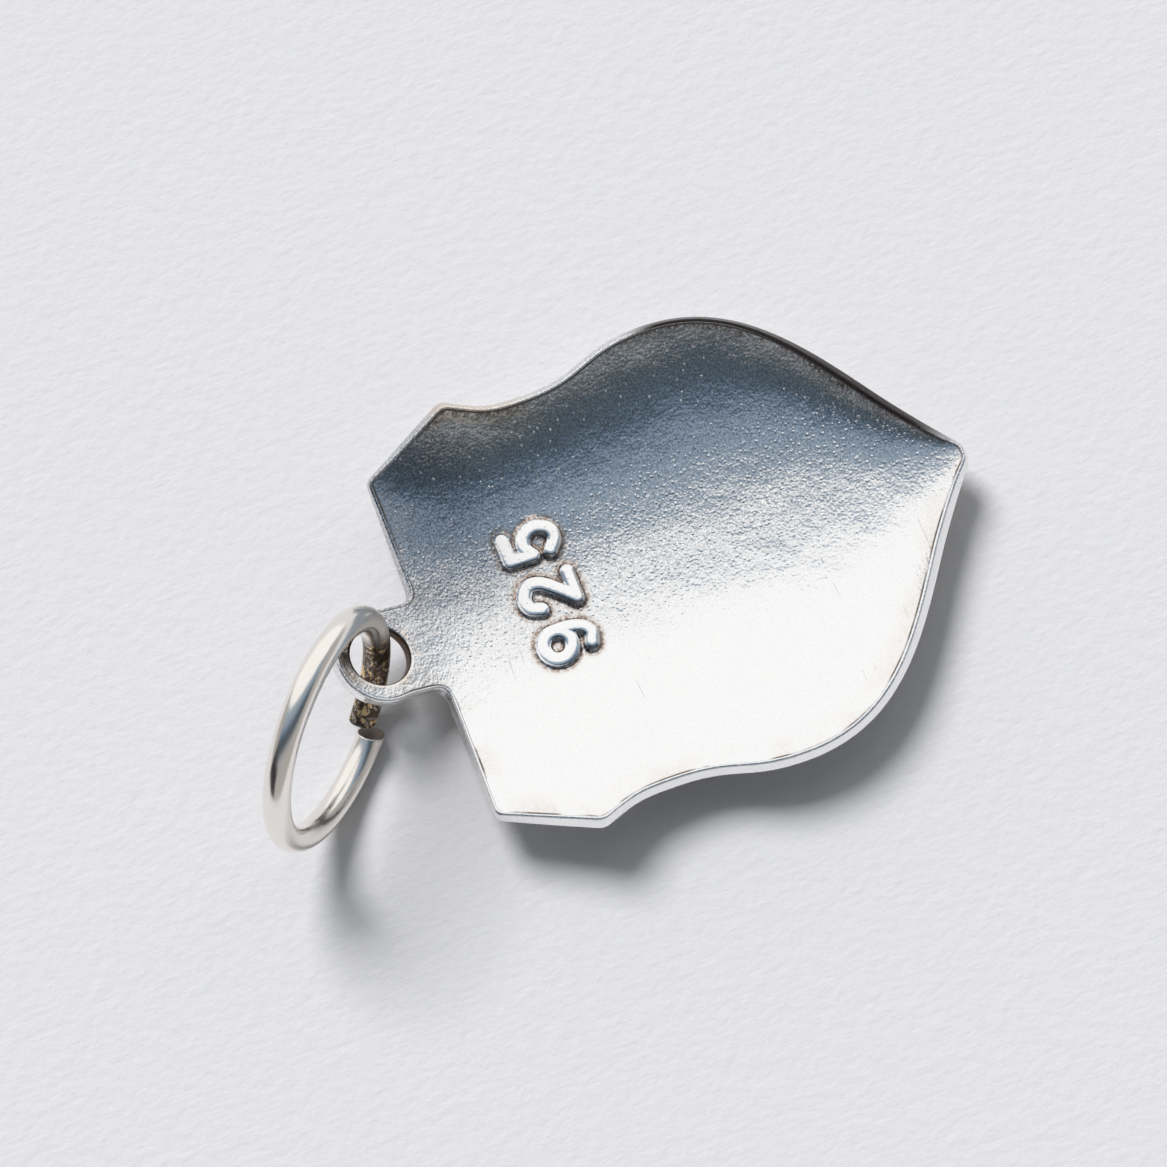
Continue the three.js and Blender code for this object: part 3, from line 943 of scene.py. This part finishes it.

# %% Where it is straw-coloured, olive or khaki, and a patch of painted shade
MARGIN_FADE, MARGIN_START, STRAW_PATCHES = (0.9, 0.1), (0.08, 0.12), (0.40, 0.72)
HALO_FADE, HALO_START = (0.50, 0.30), (0.22, 0.28)
ROUND_HOLE, HOLE_PATCHES = (0.55, 0.05), (0.30, 0.60)
EYE_END, EYE_MARGIN = (6.25, 6.85), (0.09, 0.16)
SHOULDER_FAR, SHOULDER_UP = (4.2, 5.6), (-0.8, 1.6)
PAINTED_PATCH_UP, PAINTED_PATCH_ACROSS = (1.2, 3.2), (0.0, 1.6)

margin = bench.step(from_rim, *MARGIN_FADE) * bench.step(from_rim, *MARGIN_START)
margin = margin * bench.step(patches, *STRAW_PATCHES) * (0.2 + 0.5 * mottle)
halo = bench.step(from_number, *HALO_FADE) * bench.step(from_number, *HALO_START) * (0.25 + 0.5 * mottle)
round_hole = bench.step(from_hole, *ROUND_HOLE) * bench.step(patches, *HOLE_PATCHES) * (0.35 + 0.65 * mottle)
straw = bench.most(margin, halo, round_hole)
eye_end = bench.step(eyeward, *EYE_END) * bench.step(from_rim, *EYE_MARGIN) * (0.45 + 0.55 * mottle)
shoulder = bench.step(far, *SHOULDER_FAR) * bench.step(lengthwise, *SHOULDER_UP)
# Painted shade: one patch of the dish is made darker, to deepen its reflection there.
painted_dark_patch = bench.step(lengthwise, *PAINTED_PATCH_UP) * bench.step(across, *PAINTED_PATCH_ACROSS)
print("the eye is olive from", EYE_END[0], "mm on")

# %% The colours laid over each other
# Dust darkens one half across the dish. On top of it comes the patch of painted shade, which is weaker on the
# far shoulder.
shaded = dust * (0.06 + 0.54 * unrubbed) * (1 - 0.5 * shoulder) + 0.32 * painted_dark_patch * (1 - 0.8 * shoulder)
tone = bench.blend(straw * 0.8, bench.blend(shaded, SILVER, DUST_AND_SHADE_GREY), STRAW)
tone = bench.blend(eye_end, tone, OLIVE, "MULTIPLY")
tone = bench.blend(shoulder, tone, KHAKI, "MULTIPLY")
tone = bench.blend(brown, bench.blend(foot_of_figures, tone, RUST), UMBER)
# The last blend paints shade: a dark colour on the figures' flanks that face away from the light.
tone = bench.blend(painted_flank_shade * (0.6 + 0.3 * mottle), bench.blend(far_lip, tone, NEAR_BLACK), PAINTED_SHADE_TONE)
print(len(satin.node_tree.nodes), "nodes for the colour")

# %% The pebbled skin, from fine grain to broad swells
GRAIN, FACET, SPECK, PEEL, SWELL = 0.06, 0.10, 0.26, 0.32, 1.6
SKIN_DEPTH = 0.009
MIDDLE_FROM, MIDDLE_TO = (-1.8, 0.4), (4.0, 2.0)
PIT, SMALL_PIT, SMALL_SPECK = (0.15, 0.05), (0.34, 0.14), 0.6 * SPECK
HAIR_STRETCH, HAIR_SIZE = (0.10, 1.6, 0.3), 1.2
HAIR_WIDTH, HAIR_PATCHES = (0.006, 0.002), (0.58, 0.64)


def cells(place, size):
    """Distance to the nearest of scattered seeds, in shares of the given size in millimetres."""
    return bench.node("ShaderNodeTexVoronoi", None, {"Vector": place, "Scale": 1 / size, "Randomness": 1.0})


grain = bench.noise(place, GRAIN, 2, 0.6)
peel = bench.noise(place, PEEL, 2, 0.5)
swell = bench.noise(place, SWELL, 1, 0.4)
middle_band = bench.step(across, *MIDDLE_FROM) * bench.step(across, *MIDDLE_TO)
pits = unrubbed * bench.step(cells(place, SPECK), *PIT)
pits = pits + middle_band * bench.step(cells(place, SMALL_SPECK), *SMALL_PIT)
hair_field = bench.noise(bench.stretched(place, HAIR_STRETCH), HAIR_SIZE, 0)
hairs = bench.step(bench.size_of(hair_field - 0.5), *HAIR_WIDTH) * bench.step(patches, *HAIR_PATCHES)
skin = grain * 0.5 + cells(place, FACET) * 0.45 + peel * 1.3 + swell * 5.0 + pits * 0.9 - hairs * 0.4
skin = skin * (1 - 0.8 * crown)
dent = bench.node("ShaderNodeBump", None, {"Strength": 1.0, "Distance": SKIN_DEPTH * MM, "Height": skin})
print("the skin is", SKIN_DEPTH, "mm deep")

# %% The sheet's metal
LIP_WEAR = (0.09, 0.05)

dullness = 0.10 + 0.05 * grain + 0.30 * brown + 0.08 * bench.step(from_rim, *LIP_WEAR)
metal = bench.node("ShaderNodeBsdfPrincipled", None, {
    "Base Color": tone, "Metallic": 1.0, "Roughness": dullness, "Normal": dent,
})
bench.node("ShaderNodeOutputMaterial", None, {"Surface": metal})
shield.data.materials.append(satin)
print("sheet finish has", len(satin.node_tree.nodes), "nodes")

# %% [markdown]
# ## Bright wire
#
# The ring is drawn wire, tumbled bright: nearly a mirror, with faint lines along it from the draw plate.
# The lines must follow the wire round the ring, so the finish reads the place on the wire laid out
# straight and stretches a noise along it. Where the ring sits in the eye no cloth reaches, and it has
# gone brown, with gold patches that are partly golden tarnish and partly painted glints. The two sawn
# faces are coarse and dark.

# %% Marks and patterns of the wire
DRAW_STRETCH, SAW_STRETCH = (0.06, 1, 1), (1, 1, 6)
DRAW_SIZE, HANDLING_SIZE, SCALE_SIZE, SAW_SIZE, GLINT_SIZE = 0.06, 0.5, 0.11, 0.12, 0.30
SCALY, GLINTING = (0.35, 0.50), (0.54, 0.60)

bright, bench = finish_of("bright_drawn_silver")
place = bench.millimetres()
on_wire = bench.mark("straight", "Vector")
grime_mark, sawn_mark = bench.mark("grime"), bench.mark("sawn")
draw_lines = bench.noise(bench.stretched(on_wire, DRAW_STRETCH), DRAW_SIZE, 3, 0.7)
handling = bench.noise(place, HANDLING_SIZE, 3)
scale = bench.noise(place, SCALE_SIZE, 3, 0.7)
saw_lines = bench.noise(bench.stretched(place, SAW_STRETCH), SAW_SIZE, 2)
stain = bench.most(grime_mark * (0.55 + 0.45 * bench.step(scale, *SCALY)), 0.85 * sawn_mark)
# Gold patches in the grime: partly golden tarnish, partly painted glints.
gold_and_painted_glint = grime_mark * bench.step(bench.noise(place, GLINT_SIZE, 3, 0.65), *GLINTING) * (1 - sawn_mark)
print("draw lines are", DRAW_SIZE, "mm wide")

# %% The wire's metal
WARM_SILVER, GOLD, DARK_BROWN = (0.93, 0.895, 0.85, 1), (0.86, 0.62, 0.34, 1), (0.11, 0.075, 0.05, 1)
WIRE_SKIN_DEPTH = 0.003

tone = bench.blend(handling * 0.25, WARM_SILVER, STRAW)
tone = bench.blend(gold_and_painted_glint, bench.blend(stain, tone, DARK_BROWN), GOLD)
skin = draw_lines * (1.2 - 1.1 * sawn_mark) + scale * (0.2 + 1.8 * grime_mark) + saw_lines * sawn_mark * 4.0
dent = bench.node("ShaderNodeBump", None, {"Strength": 1.0, "Distance": WIRE_SKIN_DEPTH * MM, "Height": skin})
metal = bench.node("ShaderNodeBsdfPrincipled", None, {
    "Base Color": tone, "Metallic": 1.0, "Normal": dent,
    "Roughness": 0.13 + 0.10 * handling + 0.15 * stain,
})
bench.node("ShaderNodeOutputMaterial", None, {"Surface": metal})
ring.data.materials.append(bright)
print("wire finish has", len(bright.node_tree.nodes), "nodes")

# %% [markdown]
# ## Paper, light and camera
#
# Polished metal shows its surroundings, so the surroundings are half of its look. In the photograph one
# broad bright light stands on the far side, a third of the way up. The room is darker the further a
# direction turns away from it, down to its darkest overhead. Behind the camera it is lighter again, so
# that the silver looks like silver from the far side too, and the walls low down are grey but for a dark
# gap. That is a world whose brightness depends on the direction alone. The same world lights the paper, a
# third weaker there, so that the shadow is as deep as in the photograph, and a soft sun from the far side
# throws it. The sun leaves no hot spot on the metal, because glossy rays don't see it.

# %% The paper
PAPER = (0.662, 0.652, 0.642, 1)
PAPER_HALF = 2000.0
FIBRE, STRAND, FELT_DEPTH = 0.45, 0.2, 0.048
STRAND_STRETCH = (1, 0.35, 1)

corners = np.array([(-1, -1, 0), (1, -1, 0), (1, 1, 0), (-1, 1, 0)]) * PAPER_HALF
paper_mesh = bpy.data.meshes.new("paper")
paper_mesh.from_pydata((corners * MM).tolist(), [], [(0, 1, 2, 3)])
paper = bpy.data.objects.new("paper", paper_mesh)
bpy.context.scene.collection.objects.link(paper)
paper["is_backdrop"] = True
felt, bench = finish_of("felted_paper")
place = bench.millimetres()
strands = bench.noise(bench.stretched(place, STRAND_STRETCH), STRAND, 2)
fibres = bench.noise(place, FIBRE, 4, 0.6) + strands * 0.5
dent = bench.node("ShaderNodeBump", None, {"Strength": 0.6, "Distance": FELT_DEPTH * MM, "Height": fibres})
surface = bench.node("ShaderNodeBsdfPrincipled", None, {
    "Base Color": PAPER, "Roughness": 0.9, "Specular IOR Level": 0.1, "Normal": dent,
})
bench.node("ShaderNodeOutputMaterial", None, {"Surface": surface})
paper.data.materials.append(felt)
print("paper laid")

# %% The camera's heading, and the room's light by direction
AZIMUTH, ELEVATION = math.radians(248.995), math.radians(75.898)
right = np.array([math.cos(AZIMUTH), math.sin(AZIMUTH), 0])
forward = np.array([-math.sin(AZIMUTH), math.cos(AZIMUTH), 0])
LIGHT_SIDE, LIGHT_UP = math.radians(8.2), 0.573
to_light = math.cos(LIGHT_SIDE) * forward - math.sin(LIGHT_SIDE) * right + [0, 0, LIGHT_UP]
to_light /= np.linalg.norm(to_light)
ROOM = [
    (0.34, (0.40, 0.41, 0.43)),
    (0.46, (0.090, 0.110, 0.125)),
    (0.50, (0.068, 0.090, 0.108)),
    (0.57, (0.076, 0.108, 0.140)),
    (0.61, (0.105, 0.155, 0.215)),
    (0.66, (0.225, 0.290, 0.380)),
    (0.70, (0.295, 0.370, 0.465)),
    (0.745, (0.290, 0.370, 0.455)),
    (0.785, (0.315, 0.385, 0.460)),
    (0.798, (0.37, 0.43, 0.50)),
    (0.812, (0.93, 0.94, 0.95)),
    (0.83, (1.00, 1.00, 1.00)),
]
LOW_LIGHT, GAP_DARK = (0.42, 0.41, 0.40, 1), (0.035, 0.030, 0.035, 1)
GAP_SIDE = math.radians(133)
GAP_WIDTH, GAP_FRONT = (0.48, 0.36), (0.2, 0.4)
LOW_FROM, LIGHT_ENDS = (0.60, 0.40), (0.82, 0.78)
PALE = (0.80, 0.81, 0.83, 1)
FILL_CUT = 0.32
print("the room is brightest towards", to_light.round(2))

# %% The room
world = bpy.data.worlds.new("studio")
bpy.context.scene.world = world
bench = Bench(world)
way = bench.node("ShaderNodeTexCoord", output="Generated")
ahead = 0.5 + 0.5 * bench.towards(way, to_light)
glow = bench.node("ShaderNodeValToRGB", {"stops": ROOM}, {0: ahead})
to_gap = math.cos(GAP_SIDE) * forward - math.sin(GAP_SIDE) * right
beside_gap = math.sin(GAP_SIDE) * forward + math.cos(GAP_SIDE) * right
off_gap = bench.size_of(bench.towards(way, beside_gap))
in_gap = bench.step(off_gap, *GAP_WIDTH) * bench.step(bench.towards(way, to_gap), *GAP_FRONT)
walls = bench.blend(in_gap, LOW_LIGHT, GAP_DARK)
low = bench.step(bench.towards(way, (0, 0, 1)), *LOW_FROM) * bench.step(ahead, *LIGHT_ENDS)
glow = bench.blend(low, glow, walls)
seen = bench.node("ShaderNodeLightPath", output="Is Camera Ray")
on_paper = bench.node("ShaderNodeLightPath", output="Is Diffuse Ray")
air = bench.node("ShaderNodeBackground", None, {
    "Color": bench.blend(seen, glow, PALE), "Strength": 1 - FILL_CUT * on_paper,
})
bench.node("ShaderNodeOutputWorld", None, {"Surface": air})
print("room has", len(world.node_tree.nodes), "nodes")

# %% The soft sun
SUN_WAY = np.array([0.961, 0.276])
SUN_HEIGHT, SUN_STRENGTH, SUN_ANGLE = 50, 3.44, 25
SUN_COLOUR = (0.99, 1.0, 1.05)


def aimed(thing, back):
    """Turns a lamp or camera so that its own +Z points back along the given direction."""
    thing.rotation_mode = "QUATERNION"
    thing.rotation_quaternion = Vector(back).to_track_quat("Z", "Y")


sun_up = math.radians(SUN_HEIGHT)
lamp = bpy.data.lights.new("soft_sun", "SUN")
lamp.energy, lamp.angle, lamp.color = SUN_STRENGTH, math.radians(SUN_ANGLE), SUN_COLOUR
sun = bpy.data.objects.new("soft_sun", lamp)
sun.visible_glossy = False
aimed(sun, (*(SUN_WAY * math.cos(sun_up)), math.sin(sun_up)))
bpy.context.scene.collection.objects.link(sun)
print("the sun stands", SUN_HEIGHT, "degrees high")

# %% The camera
LENS, FILM_WIDTH, DISTANCE = 165.185, 36, 150.0
NEAREST, FARTHEST = 0.005, 10
AIM = np.array([0.502, 0.279, 0.5884])

back_way = np.array([
    math.sin(AZIMUTH) * math.cos(ELEVATION), -math.cos(AZIMUTH) * math.cos(ELEVATION), math.sin(ELEVATION),
])
view = bpy.data.cameras.new("camera")
view.lens, view.sensor_width = LENS, FILM_WIDTH
view.clip_start, view.clip_end = NEAREST, FARTHEST
camera = bpy.data.objects.new("camera", view)
camera.location = (AIM + back_way * DISTANCE) * MM
aimed(camera, back_way)
bpy.context.scene.collection.objects.link(camera)
bpy.context.scene.camera = camera
bpy.context.scene.view_settings.view_transform = "Standard"
print("camera at", (np.array(camera.location) / MM).round(1), "mm")

# %% [markdown]
# ## The two boxes
#
# The imported model's box and the finished piece's box are both printed, in millimetres.

# %% Boxes
seen_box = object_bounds()
boxes = {"cad": [list(corner) for corner in cad_box], "visual": [list(corner) for corner in seen_box]}
for name, box in boxes.items():
    print(name, "box in mm:", (np.array(box) / MM).round(3).tolist())
